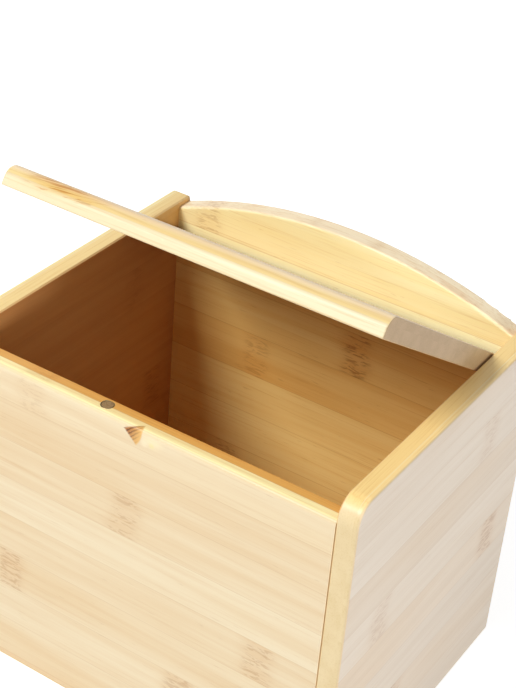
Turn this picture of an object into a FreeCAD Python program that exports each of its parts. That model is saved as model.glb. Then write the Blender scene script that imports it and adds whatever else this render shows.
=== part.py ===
import FreeCAD, Part
import math
import os

# Salt box of laminated bamboo boards, in millimetres. +Z is up, +X is to the right, the front faces -Y.
# The origin is under the middle of the box, on the surface that it stands on.
# The lid lies between the side boards and turns on two hidden pins. It is stored part open.

# Walls
inner_width = 150.0
overall_depth = 132.0
side_height = 145.0
board_thickness = 8.0
front_corner_radius = 8.0
rear_corner_radius = 2.0
front_edge_radius = 1.8
outer_arris_radius = 1.0
inner_arris_bevel = 0.5

# Arched top of the back board, measured from the tops of the side boards
arch_rise = 12.0
arch_end_drop = 2.5

# Base, held in grooves in the four walls
base_thickness = 6.0
base_lift = 4.0
groove_depth = 4.0
groove_play = 0.1
base_edge_play = 0.3

# Lid
lid_thickness = 8.0
lid_front_setback = 1.0
lid_side_gap = 0.5
lid_rear_gap = 1.5
lid_seat_gap = 0.1
lid_nose_radius = 5.0
lid_arris_radius = 0.5
lid_open_angle = 34.0

# Hinge pins: tight in the lid, running in the side boards
hinge_from_back_panel = 18.9
pin_diameter = 3.0
pin_length = 16.0
pin_board_depth = 5.0
pin_end_room = 0.5
pin_chamfer = 0.4
pin_running_clearance = 0.05
pin_tight_clearance = 0.02

# Disc magnets, one in the front board's top edge and one in the lid above it
magnet_diameter = 5.0
magnet_thickness = 3.0
magnet_left_of_middle = 18.0
magnet_from_front = 4.6
magnet_recess = 0.1
magnet_chamfer = 0.25
magnet_clearance = 0.05

# Dowels in the butt joints between the walls
dowel_count = 2
dowel_diameter = 4.0
dowel_length = 20.0
dowel_side_depth = 5.0
dowel_end_room = 0.5
dowel_chamfer = 0.5
dowel_clearance = 0.05
dowel_bottom_margin = 26.0
dowel_top_margin = 20.0

# How far a cutting tool runs past the face that it enters, and how closely a picked edge lies on its face
cut_overrun = 1.0
match_tolerance = 0.05

# Places worked out from the sizes above
inner_half = inner_width / 2
front_face = -overall_depth / 2
back_face = overall_depth / 2
front_inner_face = front_face + board_thickness
back_inner_face = back_face - board_thickness
front_height = side_height - lid_thickness - lid_seat_gap
lid_underside = side_height - lid_thickness
hinge_y = back_inner_face - hinge_from_back_panel
hinge_z = side_height - lid_thickness / 2
magnet_x = -magnet_left_of_middle
magnet_y = front_face + magnet_from_front
pin_in_lid = pin_length - pin_board_depth - lid_side_gap

X = FreeCAD.Vector(1, 0, 0)
Z = FreeCAD.Vector(0, 0, 1)
diagonal_share = math.sqrt(0.5)


def line(start, end):
    return Part.LineSegment(start, end).toShape()


def corner_arc(centre, radius, to_front):
    """A quarter circle in the YZ plane, from the front or rear of its centre to the top of it."""
    side = -1 if to_front else 1
    level = centre + FreeCAD.Vector(0, side * radius, 0)
    middle = centre + FreeCAD.Vector(0, side * radius * diagonal_share, radius * diagonal_share)
    top = centre + FreeCAD.Vector(0, 0, radius)
    return Part.Arc(level, middle, top).toShape()


def extrude(edges, direction):
    wire = Part.Wire(Part.__sortEdges__(edges))
    return Part.Face(wire).extrude(direction)


def box(low, high):
    size = FreeCAD.Vector(*high) - FreeCAD.Vector(*low)
    return Part.makeBox(size.x, size.y, size.z, FreeCAD.Vector(*low))


def fillet_where(shape, radius, wanted):
    """Rounds every edge whose bounding box the test accepts."""
    edges = [edge for edge in shape.Edges if wanted(edge.BoundBox)]
    return shape.makeFillet(radius, edges)


def bevel_where(shape, size, wanted):
    """Planes a narrow flat along every edge whose bounding box the test accepts."""
    edges = [edge for edge in shape.Edges if wanted(edge.BoundBox)]
    return shape.makeChamfer(size, edges)


def close(a, b):
    return math.isclose(a, b, abs_tol=match_tolerance)


def peg(length, diameter, chamfer, centre):
    """A round peg along X with chamfered ends, its middle at the given point."""
    start = centre - X * (length / 2)
    rod = Part.makeCylinder(diameter / 2, length, start, X)
    rims = [edge for edge in rod.Edges if close(edge.BoundBox.XLength, 0)]
    return rod.makeChamfer(chamfer, rims)


def disc_magnet(bottom):
    disc = Part.makeCylinder(magnet_diameter / 2, magnet_thickness, bottom, Z)
    rims = [edge for edge in disc.Edges if close(edge.BoundBox.ZLength, 0)]
    return disc.makeChamfer(magnet_chamfer, rims)


def dowel_heights():
    top = front_height - dowel_top_margin
    step = (top - dowel_bottom_margin) / (dowel_count - 1)
    return [dowel_bottom_margin + step * i for i in range(dowel_count)]


def dowel_y(at_front):
    return (front_face + front_inner_face) / 2 if at_front else (back_face + back_inner_face) / 2


def dowel_middle(side, at_front, height):
    """The middle of a dowel that stands in a side board and in the end of the front or back board."""
    outer_end = inner_half + dowel_side_depth
    return FreeCAD.Vector(side * (outer_end - dowel_length / 2), dowel_y(at_front), height)


def dowel_holes(side, at_front):
    length = dowel_length + 2 * dowel_end_room
    radius = dowel_diameter / 2 + dowel_clearance
    holes = []
    for height in dowel_heights():
        start = dowel_middle(side, at_front, height) - X * (length / 2)
        holes.append(Part.makeCylinder(radius, length, start, X))
    return holes


def base_groove():
    """The space that the base and its play take up in the four walls."""
    reach = inner_half + groove_depth
    top = base_lift + base_thickness + groove_play
    low = (-reach, front_inner_face - groove_depth, base_lift)
    high = (reach, back_inner_face + groove_depth, top)
    return box(low, high)


def side_panel(side):
    """A side board with a rounded front top corner, eased edges and the seats of pin, dowels and base."""
    inner = side * inner_half
    outer = inner + side * board_thickness
    front_foot = FreeCAD.Vector(inner, front_face, 0)
    rear_foot = FreeCAD.Vector(inner, back_face, 0)
    front_top = FreeCAD.Vector(inner, front_face, side_height)
    rear_top = FreeCAD.Vector(inner, back_face, side_height)
    front_inset = FreeCAD.Vector(0, front_corner_radius, -front_corner_radius)
    rear_inset = FreeCAD.Vector(0, -rear_corner_radius, -rear_corner_radius)
    front_arc = corner_arc(front_top + front_inset, front_corner_radius, True)
    rear_arc = corner_arc(rear_top + rear_inset, rear_corner_radius, False)
    front_edge = line(front_foot, front_arc.firstVertex().Point)
    top_edge = line(front_arc.lastVertex().Point, rear_arc.lastVertex().Point)
    rear_edge = line(rear_arc.firstVertex().Point, rear_foot)
    foot_edge = line(rear_foot, front_foot)
    outline = [front_edge, front_arc, top_edge, rear_arc, rear_edge, foot_edge]
    board = extrude(outline, X * (side * board_thickness))

    board = fillet_where(
        board,
        outer_arris_radius,
        lambda b: close(b.XMin, outer) and close(b.XMax, outer),
    )
    board = bevel_where(
        board,
        inner_arris_bevel,
        lambda b: close(b.XMin, inner) and close(b.XMax, inner) and not close(b.ZMax, 0) and b.YMin < hinge_y,
    )

    running = pin_diameter / 2 + pin_running_clearance
    pin_hole = Part.makeCylinder(
        running,
        pin_board_depth + pin_end_room + cut_overrun,
        FreeCAD.Vector(inner - side * cut_overrun, hinge_y, hinge_z),
        X * side,
    )
    cuts = [pin_hole, base_groove()] + dowel_holes(side, True) + dowel_holes(side, False)
    return board.cut(cuts)


def front_panel():
    """The front board, with the magnet's pocket in its rounded top edge."""
    board = box((-inner_half, front_face, 0), (inner_half, front_inner_face, front_height))
    board = fillet_where(
        board,
        front_edge_radius,
        lambda b: close(b.ZMin, front_height) and close(b.YMax, front_face),
    )
    board = bevel_where(
        board,
        inner_arris_bevel,
        lambda b: close(b.ZMin, front_height) and close(b.YMin, front_inner_face),
    )
    depth = magnet_thickness + magnet_recess
    pocket = Part.makeCylinder(
        magnet_diameter / 2 + magnet_clearance,
        depth + cut_overrun,
        FreeCAD.Vector(magnet_x, magnet_y, front_height - depth),
        Z,
    )
    return board.cut([pocket, base_groove()] + dowel_holes(-1, True) + dowel_holes(1, True))


def back_panel():
    """The back board, whose top is one flat arc between the side boards."""
    shoulder = side_height - arch_end_drop
    left_foot = FreeCAD.Vector(-inner_half, back_inner_face, 0)
    right_foot = FreeCAD.Vector(inner_half, back_inner_face, 0)
    left_shoulder = FreeCAD.Vector(-inner_half, back_inner_face, shoulder)
    right_shoulder = FreeCAD.Vector(inner_half, back_inner_face, shoulder)
    apex = FreeCAD.Vector(0, back_inner_face, side_height + arch_rise)
    arch = Part.Arc(left_shoulder, apex, right_shoulder).toShape()
    left_end = line(left_foot, left_shoulder)
    right_end = line(right_shoulder, right_foot)
    foot_edge = line(right_foot, left_foot)
    board = extrude([left_end, arch, right_end, foot_edge], FreeCAD.Vector(0, board_thickness, 0))
    board = fillet_where(
        board,
        outer_arris_radius,
        lambda b: close(b.YLength, 0) and b.ZMax > side_height and b.ZMin > side_height / 2,
    )
    return board.cut([base_groove()] + dowel_holes(-1, False) + dowel_holes(1, False))


def base_panel():
    reach = inner_half + groove_depth - base_edge_play
    tongue = groove_depth - base_edge_play
    low = (-reach, front_inner_face - tongue, base_lift)
    high = (reach, back_inner_face + tongue, base_lift + base_thickness)
    return box(low, high)


def swing_open(shape):
    """Turns a piece of the closed lid up about the hinge line to the stored opening."""
    turned = shape.copy()
    turned.rotate(FreeCAD.Vector(0, hinge_y, hinge_z), -X, lid_open_angle)
    return turned


def lid_profile():
    """The closed lid seen from its end: a board whose front top edge is rounded over."""
    left = -inner_half + lid_side_gap
    front = front_face + lid_front_setback
    rear = back_inner_face - lid_rear_gap
    nose_centre = FreeCAD.Vector(left, front + lid_nose_radius, side_height - lid_nose_radius)
    nose = corner_arc(nose_centre, lid_nose_radius, True)
    front_foot = FreeCAD.Vector(left, front, lid_underside)
    rear_top = FreeCAD.Vector(left, rear, side_height)
    rear_foot = FreeCAD.Vector(left, rear, lid_underside)
    return [
        line(front_foot, nose.firstVertex().Point),
        nose,
        line(nose.lastVertex().Point, rear_top),
        line(rear_top, rear_foot),
        line(rear_foot, front_foot),
    ]


def lid():
    """The lid: a nosed board with eased edges, a pin hole in each end and a magnet pocket below."""
    width = inner_width - 2 * lid_side_gap
    board = extrude(lid_profile(), X * width)
    nose_end = front_face + lid_front_setback + lid_nose_radius
    board = fillet_where(
        board,
        lid_arris_radius,
        lambda b: close(b.XLength, 0) or close(b.ZMax, lid_underside) or b.YMin > nose_end,
    )
    end = width / 2
    depth = pin_in_lid + pin_end_room
    radius = pin_diameter / 2 + pin_tight_clearance
    pockets = []
    for side in (-1, 1):
        mouth = FreeCAD.Vector(side * (end + cut_overrun), hinge_y, hinge_z)
        pockets.append(Part.makeCylinder(radius, depth + cut_overrun, mouth, -X * side))
    magnet_depth = magnet_thickness + magnet_recess
    pockets.append(
        Part.makeCylinder(
            magnet_diameter / 2 + magnet_clearance,
            magnet_depth + cut_overrun,
            FreeCAD.Vector(magnet_x, magnet_y, lid_underside - cut_overrun),
            Z,
        )
    )
    return swing_open(board.cut(pockets))


def lid_magnet():
    return swing_open(disc_magnet(FreeCAD.Vector(magnet_x, magnet_y, lid_underside + magnet_recess)))


def front_magnet():
    bottom = front_height - magnet_recess - magnet_thickness
    return disc_magnet(FreeCAD.Vector(magnet_x, magnet_y, bottom))


def hinge_pin(side):
    middle = inner_half + pin_board_depth - pin_length / 2
    return peg(pin_length, pin_diameter, pin_chamfer, FreeCAD.Vector(side * middle, hinge_y, hinge_z))


def dowels(side, at_front):
    pegs = []
    for height in dowel_heights():
        middle = dowel_middle(side, at_front, height)
        pegs.append(peg(dowel_length, dowel_diameter, dowel_chamfer, middle))
    return Part.makeCompound(pegs)


pieces = {
    "left_side_panel": side_panel(-1),
    "right_side_panel": side_panel(1),
    "front_panel": front_panel(),
    "back_panel": back_panel(),
    "base_panel": base_panel(),
    "lid": lid(),
    "left_hinge_pin": hinge_pin(-1),
    "right_hinge_pin": hinge_pin(1),
    "front_magnet": front_magnet(),
    "lid_magnet": lid_magnet(),
    "front_left_dowels": dowels(-1, True),
    "front_right_dowels": dowels(1, True),
    "back_left_dowels": dowels(-1, False),
    "back_right_dowels": dowels(1, False),
}

os.makedirs("parts", exist_ok=True)
for name, shape in pieces.items():
    shape.exportStep(os.path.join("parts", name + ".step"))
    print(name, len(shape.Solids), "solid", shape.isValid(), round(shape.Volume))
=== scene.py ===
import math
import bpy
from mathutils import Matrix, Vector


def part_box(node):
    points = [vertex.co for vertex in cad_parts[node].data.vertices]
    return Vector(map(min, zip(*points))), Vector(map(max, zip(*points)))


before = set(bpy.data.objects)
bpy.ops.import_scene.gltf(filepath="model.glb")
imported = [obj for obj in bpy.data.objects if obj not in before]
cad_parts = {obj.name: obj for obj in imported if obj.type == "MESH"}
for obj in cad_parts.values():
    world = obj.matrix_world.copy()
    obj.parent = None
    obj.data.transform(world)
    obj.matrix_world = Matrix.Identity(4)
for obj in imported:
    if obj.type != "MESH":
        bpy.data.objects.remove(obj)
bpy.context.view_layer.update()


# Front board: one wide bamboo board between the two sides, glued up from flat strips in two plies.
# The pale outer ply faces the room and the honey-coloured inner ply faces the salt.
# Its top edge is eased by sanding, which has cut through one knuckle of the cane.
class Grain:
    """One socket of a material. Sums on it add Math nodes, and add() makes any other node."""

    def __init__(self, tree, socket=None):
        self.tree = tree
        self.socket = socket

    def add(self, kind, settings, sockets, output=0):
        node = self.tree.nodes.new(kind)
        for name, value in settings.items():
            setattr(node, name, value)
        for key, value in sockets.items():
            if isinstance(value, Grain):
                self.tree.links.new(value.socket, node.inputs[key])
            else:
                node.inputs[key].default_value = value
        return Grain(self.tree, node.outputs[output])

    def math(self, operation, *terms):
        return self.add("ShaderNodeMath", {"operation": operation}, dict(enumerate((self, *terms))))

    def __add__(self, other):
        return self.math("ADD", other)

    __radd__ = __add__

    def __sub__(self, other):
        return self.math("SUBTRACT", other)

    def __rsub__(self, other):
        return self * -1.0 + other

    def __mul__(self, other):
        return self.math("MULTIPLY", other)

    __rmul__ = __mul__

    def __truediv__(self, other):
        return self.math("DIVIDE", other)

    def __lt__(self, other):
        return self.math("LESS_THAN", other)

    def __abs__(self):
        return self.math("ABSOLUTE")

    def rise(self, low, high):
        """0 up to low and 1 from high on, with a soft step between; low may be the larger."""
        ends = (low, high, 0.0, 1.0) if low < high else (high, low, 1.0, 0.0)
        sockets = dict(enumerate((self, *ends)))
        return self.add("ShaderNodeMapRange", {"interpolation_type": "SMOOTHSTEP"}, sockets)

    def vector(self, x, y, z):
        return self.add("ShaderNodeCombineXYZ", {}, {0: x, 1: y, 2: z})

    def part(self, axis):
        return self.add("ShaderNodeSeparateXYZ", {}, {0: self}, axis)

    def away(self, point):
        """The distance of this place from a point."""
        return self.add("ShaderNodeVectorMath", {"operation": "DISTANCE"}, {0: self, 1: point}, "Value")

    def noise(self, detail, roughness=0.5, distortion=0.0):
        sockets = {"Vector": self, "Scale": 1.0, "Detail": detail, "Roughness": roughness}
        return self.add("ShaderNodeTexNoise", {}, {**sockets, "Distortion": distortion})

    def blend(self, first, second):
        """A colour between two, with this value as the share of the second."""
        return self.add("ShaderNodeMix", {"data_type": "RGBA"}, {0: self, 6: first, 7: second}, 2)

    def stain(self, colour, by):
        """This colour multiplied by another, as far as the share says."""
        settings = {"data_type": "RGBA", "blend_type": "MULTIPLY"}
        return self.add("ShaderNodeMix", settings, {0: by, 6: self, 7: colour}, 2)

    def bump(self, strength, distance):
        """A surface that rises and falls with this value."""
        sockets = {"Strength": strength, "Distance": distance, "Height": self}
        return self.add("ShaderNodeBump", {}, sockets)


def tone(text):
    """A colour written as six hexadecimal digits, as the numbers that a shader takes."""
    shares = [int(text[i:i + 2], 16) / 255 for i in (0, 2, 4)]
    linear = [s / 12.92 if s <= 0.04045 else ((s + 0.055) / 1.055) ** 2.4 for s in shares]
    return (*linear, 1.0)


def tones(texts):
    return [tone(text) for text in texts]


def start(name):
    """An empty material and a Grain to build on."""
    material = bpy.data.materials.new(name)
    material.use_nodes = True
    material.node_tree.nodes.clear()
    return material, Grain(material.node_tree)


def cover(g, shader):
    """Makes a shader the surface of its material."""
    output = g.tree.nodes.new("ShaderNodeOutputMaterial")
    g.tree.links.new(shader.socket, output.inputs[0])


def bamboo(name, axes, seam, strip, seed, ply, faces, edges, glue, end, nodes,
           figured=1.0, edge_wear_and_shade=("FBEFCB", 0.2), turn=None, painted_light_zone=None, mark=None):
    """Laminated bamboo. Lengths are in metres.
    axes are the directions along the grain, across the strips and through the plies.
    seam is one joint between strips, strip their width, and seed gives the board a figure of its own.
    ply is the joint between the plies, and the side on which the inner ply lies.
    faces holds the light and dark wood of the outer and inner ply, edges their sawn edges, glue the line
    between those, and end the light and dark of the end grain.
    nodes are the knuckles of the cane: place along the grain, place across it, and strength.
    figured is how strongly the grain shows, and edge_wear_and_shade the colour of the eased edges with its
    share: pale wear on most boards, and painted shade on the front board's arris, where it tones down the
    lamp's highlight.
    turn is the pivot and angle of a board that lies at a slant, painted_light_zone is a place and its light
    and dark wood, painted paler there as painted light where the lamp reaches the inside, and mark adds what
    is on this board alone."""
    material, g = start(name)
    place = g.add("ShaderNodeTexCoord", {}, {}, "Object")
    normal = g.add("ShaderNodeTexCoord", {}, {}, "Normal")
    if turn:
        pivot, angle = turn
        lie = (angle, 0.0, 0.0)
        place = g.add("ShaderNodeVectorMath", {"operation": "SUBTRACT"}, {0: place, 1: pivot})
        place = g.add("ShaderNodeMapping", {"vector_type": "POINT"}, {"Vector": place, "Rotation": lie})
        normal = g.add("ShaderNodeMapping", {"vector_type": "NORMAL"}, {"Vector": normal, "Rotation": lie})
    along, across, through = (place.part(axis) for axis in axes)
    endways, edgeways, faceways = (abs(normal.part(axis)) for axis in axes)

    # Each strip of each ply is its own cane, with its own shade, warmth and place along the stem.
    step = (across - seam) / strip
    index = step.math("FLOOR")
    joint, side = ply
    ply_blur = 0.0001
    layer = ((through - joint) * side).rise(-ply_blur, ply_blur)
    cane = index * 3.7 + layer.math("ROUND") * 17.3 + seed
    chance = g.add("ShaderNodeTexWhiteNoise", {"noise_dimensions": "1D"}, {"W": cane}, "Color")
    shade, warmth, slide = (chance.part(axis) for axis in range(3))
    stem_length = 0.7
    run = along + slide * stem_length

    def grown(lengthwise, crosswise, *texture, shift=0.0):
        """Noise drawn out along the grain, by its cells per metre along and across it."""
        return g.vector(run * lengthwise, across * crosswise + shift, through * crosswise).noise(*texture)

    streaks = grown(8.0, 230.0, 3.0, 0.55, 0.3, shift=shade * 40.0)
    fibres = grown(30.0, 1400.0, 3.0, 0.6, 0.15)
    pores = grown(130.0, 1250.0, 1.0, 0.6)
    drift = grown(6.0, 30.0, 2.0, 0.5, 0.2)
    seam_line = abs(step - index - 0.5).rise(0.486, 0.499)

    # The faces of the two plies, and their sawn edges with the glue line between them.
    figure = streaks.rise(0.32, 0.7) * 0.5 + shade * 0.5
    outer, inner = (figure.blend(*tones(pair)) for pair in faces)
    # Painted light: in the given zone the inner ply is painted paler, where the lamp reaches it over the lid.
    if painted_light_zone:
        where, colours = painted_light_zone
        inner = where(along, across).blend(inner, figure.blend(*tones(colours)))
    rim = edgeways.rise(0.55, 0.85)
    wood = rim.blend(layer.blend(outer, inner), layer.blend(*tones(edges)))
    glue_line = abs(through - joint).rise(0.0003, 0.00005)
    wood = (glue_line * rim * 0.45).blend(wood, tone(glue))
    wood = wood.stain(tone("DDAE6A"), streaks.rise(0.48, 0.7) * rim * 0.25)
    wood = wood.stain(tone("D4B070"), fibres.rise(0.48, 0.68) * rim * 0.2)
    depth = (1.0 - rim * 0.55) * figured
    for colour, growth, share in (
        ("F4DAB0", warmth.rise(0.4, 1.0), 0.3),
        ("F0DAB4", drift.rise(0.45, 0.75), 0.4),
        ("DDBC8C", fibres.rise(0.5, 0.78), 0.3),
        ("B88A54", pores.rise(0.7, 0.82), 0.22),
        ("C9A26E", seam_line, 0.3),
    ):
        wood = wood.stain(tone(colour), growth * depth * share)

    # Knuckles: a soft brown band across one strip, broken into short curled strokes.
    curl = g.vector(along * 170.0 + slide * 9.0, across * 760.0, through * 760.0).noise(2.0, 0.55, 1.1)
    stroke = curl.rise(0.48, 0.62)
    wander = (g.vector(across * 140.0, through * 140.0, cane).noise(1.0) - 0.5) * 0.007
    knuckle = 0.0
    for spot, level, strength in nodes:
        here = (abs(index - math.floor((level - seam) / strip)) < 0.5) * strength
        reach = abs(along - spot + wander)
        wood = wood.stain(tone("DDB074"), reach.rise(0.0105, 0.002) * here * 0.4)
        knuckle = reach.rise(0.0075, 0.003) * here * stroke + knuckle
    wood = wood.stain(layer.blend(tone("B07A34"), tone("A06A34")), knuckle * 0.7)

    # Eased edges, given paler wear or darker painted shade over the arris highlight, the board's own mark,
    # and the dotted end grain.
    squarest = endways.math("MAXIMUM", edgeways).math("MAXIMUM", faceways)
    wear_and_shade_colour, share = edge_wear_and_shade
    wood = (squarest.rise(0.97, 0.8) * share).blend(wood, tone(wear_and_shade_colour))
    if mark:
        wood = mark(g, wood, place)
    dots = g.vector(across * 1700.0, through * 1700.0, run * 60.0).noise(2.0, 0.6)
    patch = g.vector(across * 120.0, through * 120.0, run * 40.0).noise(2.0)
    sawn = (dots.rise(0.45, 0.75) * 0.45 + patch.rise(0.3, 0.7) * 0.55).blend(*tones(end))
    wood = endways.rise(0.6, 0.9).blend(wood, sawn)

    height = fibres * 0.5 + pores * 0.25 - knuckle * 0.5 - seam_line * 0.3
    lacquered = {
        "Base Color": wood,
        "Roughness": fibres * 0.14 + knuckle * 0.1 + 0.34,
        "Normal": height.bump(0.12, 0.0003),
        "Coat Weight": 0.15,
        "Coat Roughness": 0.3,
        "Specular IOR Level": 0.3,
    }
    cover(g, g.add("ShaderNodeBsdfPrincipled", {}, lacquered))
    return material


def cut_knuckle(g, wood, place):
    """A brown wedge across the top arris with slanting strokes, and pale spots beside it, one of them a
    whitish painted highlight.
    Millimetres: x along the board, and up from the arris over the top edge, or down the face below 0."""
    x, y, z = (place.part(axis) * 1000.0 for axis in range(3))
    arris = 71.0
    up = z + y - arris
    flat = g.vector(x, up, 0.0)
    outer_ply = y.rise(-60.5, -61.5)
    face = up.rise(-1.0, -2.5)
    # Pale spots beside the wedge: a broad pale patch, a whitish spot that is a painted highlight, and a small
    # yellow dot.
    for centre, size, core, where, share, colour in (
        ((4.0, -1.0), 6.5, 1.5, face * outer_ply, 0.5, "F8EABE"),
        ((0.8, -5.0), 2.2, 0.4, outer_ply, 0.3, "FAF0D0"),
        ((4.0, -4.6), 1.6, 0.2, outer_ply, 0.5, "E8DC92"),
    ):
        spot = flat.away((*centre, 0.0)).rise(size, core)
        wood = (spot * where * share).blend(wood, tone(colour))

    def left_of(first, last):
        """How far a place lies to the left of the line from one point to another."""
        width, height = last[0] - first[0], last[1] - first[1]
        length = math.hypot(width, height)
        return (x - first[0]) * (-height / length) + (up - first[1]) * (width / length)

    top_corner, left_corner, tip = (-0.7, 3.0), (-7.9, -2.2), (-2.4, -7.5)
    arc_centre, arc_radius = (-9.0, -1.0), 9.2
    sides = left_of(top_corner, left_corner).math("MINIMUM", left_of(left_corner, tip))
    arc = arc_radius - flat.away((*arc_centre, 0.0))
    wedge = sides.math("MINIMUM", arc).rise(-0.1, 0.8) * outer_ply
    fade = (x - up * 0.3).rise(-6.0, 1.0)
    strokes = ((x - up) * 3.6 + flat.noise(1.0) * 3.0).math("SINE").rise(-0.2, 0.7)
    wood = (wedge * 0.95).blend(wood, fade.blend(tone("A4601E"), tone("E4B468")))
    return (wedge * strokes * (1.0 - fade) * 0.9).blend(wood, tone("5C3412"))


plain_end = ("F0DEB4", "E2C896")
honey = ("F0C47A", "E0AC60")
front_board = bamboo(
    "front_bamboo", axes=(0, 2, 1), seam=0.1231, strip=0.0172, seed=4.0, ply=(-0.0619, 1.0),
    faces=(("E8DABC", "DEC6A0"), honey), edges=("FFF4BC", "E2AC5C"), glue="C48E4A", end=plain_end,
    nodes=[
        (-0.047, 0.131, 0.2), (-0.006, 0.098, 0.35), (0.052, 0.062, 0.4),
        (-0.058, 0.045, 0.4), (0.02, 0.02, 0.4),
    ],
    # painted shade: the eased top arris is painted darker to tone down its highlight
    figured=0.75, edge_wear_and_shade=("D4C498", 0.85), mark=cut_knuckle,
)
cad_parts["front_panel"].material_slots[0].material = front_board


# Back board: like the front board, but taller, with one flat arc sawn along its top.
# Above the lid the inner face is painted paler, as painted light where the lamp reaches it, and inside the
# box it keeps a darker honey colour, partly the inner ply's own and partly painted shade.
def lit_above_lid(along, across):
    return across.rise(0.124, 0.132)


back_board = bamboo(
    "back_bamboo", axes=(0, 2, 1), seam=0.098, strip=0.0195, seed=11.0, ply=(0.062, -1.0),
    faces=(("F2E1C0", "EACFA4"), ("FBDB8E", "F0C472")), edges=("FCECCC", "FCECCC"), glue="FAECC8",
    end=plain_end,
    nodes=[
        (-0.061, 0.146, 0.4), (0.012, 0.105, 0.7), (-0.033, 0.09, 0.35),
        (-0.045, 0.03, 0.5), (0.05, 0.04, 0.5),
    ],
    # painted light: the inner face above the lid is painted paler than inside the box
    figured=1.35, edge_wear_and_shade=("FBEFCB", 0.15), painted_light_zone=(lit_above_lid, ("F3F2D0", "F1EABA")),
)
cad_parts["back_panel"].material_slots[0].material = back_board


# Side boards: two boards whose grain runs from front to back, so their front edges show end grain.
# The upper front corner is rounded, and the thin outer ply shows as a line along the top edge.
# Painted light: behind the hinge and above the lid's line the inner face is painted paler, where light
# reaches it over the lid.
def lit_behind_lid(along, across):
    return across.rise(0.130, 0.138) * along.rise(0.03, 0.045)


outer_ply_joint = 0.081
for name, side, seed, edges in (
    ("left_side_panel", -1.0, 23.0, ("F8E6AA", "F4DA9A")),
    ("right_side_panel", 1.0, 37.0, ("FFE2A0", "FFE09A")),
):
    board = bamboo(
        name.replace("panel", "bamboo"), axes=(1, 2, 0), seam=0.1265, strip=0.0182, seed=seed,
        ply=(side * outer_ply_joint, -side),
        # the inner ply is darker than the other boards': partly the wood's own honey colour and partly
        # painted shade for the inside of the box
        faces=(("F4E5D2", "EAD8C2"), ("CE9860", "C08650")), edges=edges, glue="FFF4D2",
        end=("E2CEA4", "D6BE8E"),
        nodes=[(0.03, 0.118, 0.2), (-0.04, 0.082, 0.25), (0.045, 0.055, 0.4), (-0.02, 0.03, 0.4)],
        figured=0.6, edge_wear_and_shade=("F2D096", 0.6), painted_light_zone=(lit_behind_lid, ("F0C888", "E8B870")),
    )
    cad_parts[name].material_slots[0].material = board


# Base: a thinner bamboo panel that floats in grooves in the four walls, unseen from outside.
# Its upper face is the floor that the salt lies on.
base_board = bamboo(
    "base_bamboo", axes=(0, 1, 2), seam=0.004, strip=0.019, seed=47.0, ply=(0.007, 1.0),
    faces=(("F0D8A0", "E0B874"), honey), edges=("F8E2A4", "F5DA90"), glue="C4935A", end=plain_end,
    nodes=[(-0.03, -0.03, 0.8), (0.045, 0.01, 0.8), (-0.05, 0.045, 0.8)],
)
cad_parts["base_panel"].material_slots[0].material = base_board


# Dowels: short hardwood pegs glued across the butt joints between the walls.
# Their turned sides keep the fine flecks of the timber.
dowel_wood, g = start("dowel_beech")
place = g.add("ShaderNodeTexCoord", {}, {}, "Object")
fleck = g.vector(place.part(0) * 260.0, place.part(1) * 2400.0, place.part(2) * 2400.0).noise(2.0, 0.6)
turned = {
    "Base Color": fleck.rise(0.4, 0.75).blend(tone("DDBD92"), tone("B98E5E")),
    "Roughness": 0.5 + fleck * 0.2,
    "Normal": fleck.bump(0.2, 0.0002),
}
cover(g, g.add("ShaderNodeBsdfPrincipled", {}, turned))
for name in ("front_left_dowels", "front_right_dowels", "back_left_dowels", "back_right_dowels"):
    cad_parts[name].material_slots[0].material = dowel_wood


# Magnets: two plated discs, one pressed into the top of the front board and one into the lid above it.
# The plating is dull and a little scuffed, and painted darker towards the rim as painted shade from the gap
# around it in its pocket.
def plated_disc(node):
    low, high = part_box(node)
    middle = (low + high) / 2
    metal, g = start(node.replace("magnet", "plating"))
    place = g.add("ShaderNodeTexCoord", {}, {}, "Object")
    rim = place.away(tuple(middle)).rise(0.00235, 0.00285)
    fine = g.add("ShaderNodeVectorMath", {"operation": "SCALE"}, {0: place, "Scale": 2600.0})
    scuffs = fine.noise(3.0, 0.65)
    colour = scuffs.rise(0.3, 0.7).blend(tone("B39C7A"), tone("CDB892"))
    plated = {
        # painted shade: darker towards the rim, where the disc sits in its pocket
        "Base Color": colour.stain(tone("6A5A44"), rim * 0.8),
        "Roughness": 0.3 + scuffs * 0.2,
        "Normal": scuffs.bump(0.1, 0.0001),
        "Metallic": 0.85,
    }
    cover(g, g.add("ShaderNodeBsdfPrincipled", {}, plated))
    return metal


for name in ("front_magnet", "lid_magnet"):
    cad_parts[name].material_slots[0].material = plated_disc(name)


# Lid: one bamboo board between the sides, its front top edge rounded over by a router.
# The grain runs along the nose, so both ends show end grain.
def nose_streak(g, wood, place):
    """A knuckle drawn out along the nose into thin brown streaks, and one dark pinhole beyond it.
    Millimetres from the hinge, with the lid laid flat."""
    x, y, z = (place.part(axis) * 1000.0 for axis in range(3))
    climb = x * 0.1
    threads = g.vector(x * 0.07, (y - climb) * 1.3, (z - climb) * 1.3).noise(2.0, 0.6, 0.6).rise(0.49, 0.63)
    length = abs(x + y * 0.4 + 91.3).rise(23.0, 4.0)
    upper = (z - climb * 0.6).rise(1.6, 3.4) * y.rise(-96.5, -99.5)
    wood = wood.stain(tone("F2D486"), length * upper * 0.5)
    wood = wood.stain(tone("CC9A3E"), threads * length * upper * 0.75)
    pinhole = place.away((-0.0245, -0.1058, 0.0012)).rise(0.0008, 0.0003)
    return wood.stain(tone("5A4020"), pinhole * 0.8)


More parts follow.
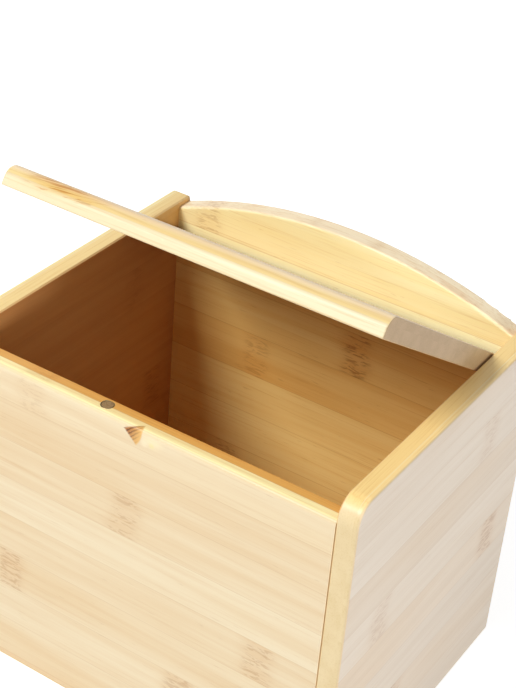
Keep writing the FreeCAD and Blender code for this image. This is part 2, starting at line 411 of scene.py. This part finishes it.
hinge = (0.0, 0.0391, 0.141)
raised = math.radians(34.0)
lid_board = bamboo(
    "lid_bamboo", axes=(0, 1, 2), seam=-0.0966, strip=0.0195, seed=59.0, ply=(0.0008, 1.0),
    faces=(("F5E2BC", "EED2A0"), ("FBE4BC", "F4D6A4")), edges=("DFD0AA", "E8D094"), glue="DACA9A",
    end=("C4A47A", "B09066"),
    nodes=[(0.03, -0.07, 0.4), (-0.02, -0.04, 0.4), (0.05, -0.01, 0.4)],
    edge_wear_and_shade=("FBEFCB", 0.0), turn=(hinge, raised), mark=nose_streak,
)
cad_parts["lid"].material_slots[0].material = lid_board


# Hinge pins: two drawn steel pins, tight in the lid's ends and free to turn in the side boards.
# Drawing leaves fine lines along each pin.
pin_steel, g = start("drawn_steel")
place = g.add("ShaderNodeTexCoord", {}, {}, "Object")
draw = g.vector(place.part(0) * 90.0, place.part(1) * 5200.0, place.part(2) * 5200.0).noise(2.0, 0.6)
drawn = {
    "Base Color": draw.rise(0.35, 0.7).blend(tone("B9B6B0"), tone("8E8B86")),
    "Roughness": 0.24 + draw * 0.16,
    "Metallic": 1.0,
}
cover(g, g.add("ShaderNodeBsdfPrincipled", {}, drawn))
for name in ("left_hinge_pin", "right_hinge_pin"):
    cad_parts[name].material_slots[0].material = pin_steel


# Studio: a plain pale floor, one soft lamp from the front left, a weaker one low on the right,
# and a camera at the photograph's angle.
def seen_as_white(g):
    """1 for what the camera sees straight on, in a gloss or through glass, and 0 for light on things."""
    names = ("Is Camera Ray", "Is Glossy Ray", "Is Transmission Ray")
    straight, gloss, glass = (g.add("ShaderNodeLightPath", {}, {}, name) for name in names)
    return straight.math("MAXIMUM", gloss).math("MAXIMUM", glass)


white = (1.0, 1.0, 1.0, 1.0)
paper_grey = (0.6, 0.6, 0.6, 1.0)
paper_glow = 0.78
reach = 6.0
corners = [(-reach, -reach, 0.0), (reach, -reach, 0.0), (reach, reach, 0.0), (-reach, reach, 0.0)]
floor_mesh = bpy.data.meshes.new("floor")
floor_mesh.from_pydata(corners, [], [(0, 1, 2, 3)])
floor = bpy.data.objects.new("floor", floor_mesh)
bpy.context.scene.collection.objects.link(floor)
paper, g = start("white_paper")
lit = g.add("ShaderNodeBsdfDiffuse", {}, {0: paper_grey})
glow = g.add("ShaderNodeEmission", {}, {0: white, 1: seen_as_white(g) * paper_glow})
cover(g, g.add("ShaderNodeAddShader", {}, {0: lit, 1: glow}))
floor_mesh.materials.append(paper)

aim = Vector((0.0, 0.0, 0.09))
for name, at, size, power, colour in (
    ("key_lamp", (-0.587, -1.173, 1.322), 0.65, 28.0, (1.0, 0.985, 0.955)),
    ("fill_lamp", (1.35, -0.45, 0.09), 0.18, 7.0, (0.97, 0.98, 1.0)),
):
    light = bpy.data.lights.new(name, "AREA")
    light.shape = "DISK"
    light.size = size
    light.energy = power
    light.color = colour
    stand = bpy.data.objects.new(name, light)
    stand.location = at
    stand.rotation_euler = (aim - Vector(at)).to_track_quat("-Z", "Y").to_euler()
    stand.visible_camera = False
    bpy.context.scene.collection.objects.link(stand)

sky_light = 0.35
world = bpy.data.worlds.new("studio")
bpy.context.scene.world = world
world.use_nodes = True
g = Grain(world.node_tree)
sky = world.node_tree.nodes["Background"]
sky.inputs[0].default_value = white
world.node_tree.links.new((sky_light + seen_as_white(g) * (1.0 - sky_light)).socket, sky.inputs[1])

camera = bpy.data.objects.new("camera", bpy.data.cameras.new("camera"))
camera.location = (0.25504, -0.42274, 0.45956)
camera.rotation_euler = tuple(math.radians(angle) for angle in (56.82, -4.091, 33.584))
camera.data.lens = 86.113
camera.data.sensor_width = 36.0
bpy.context.scene.collection.objects.link(camera)
bpy.context.scene.camera = camera
bpy.context.scene.view_settings.view_transform = "Standard"
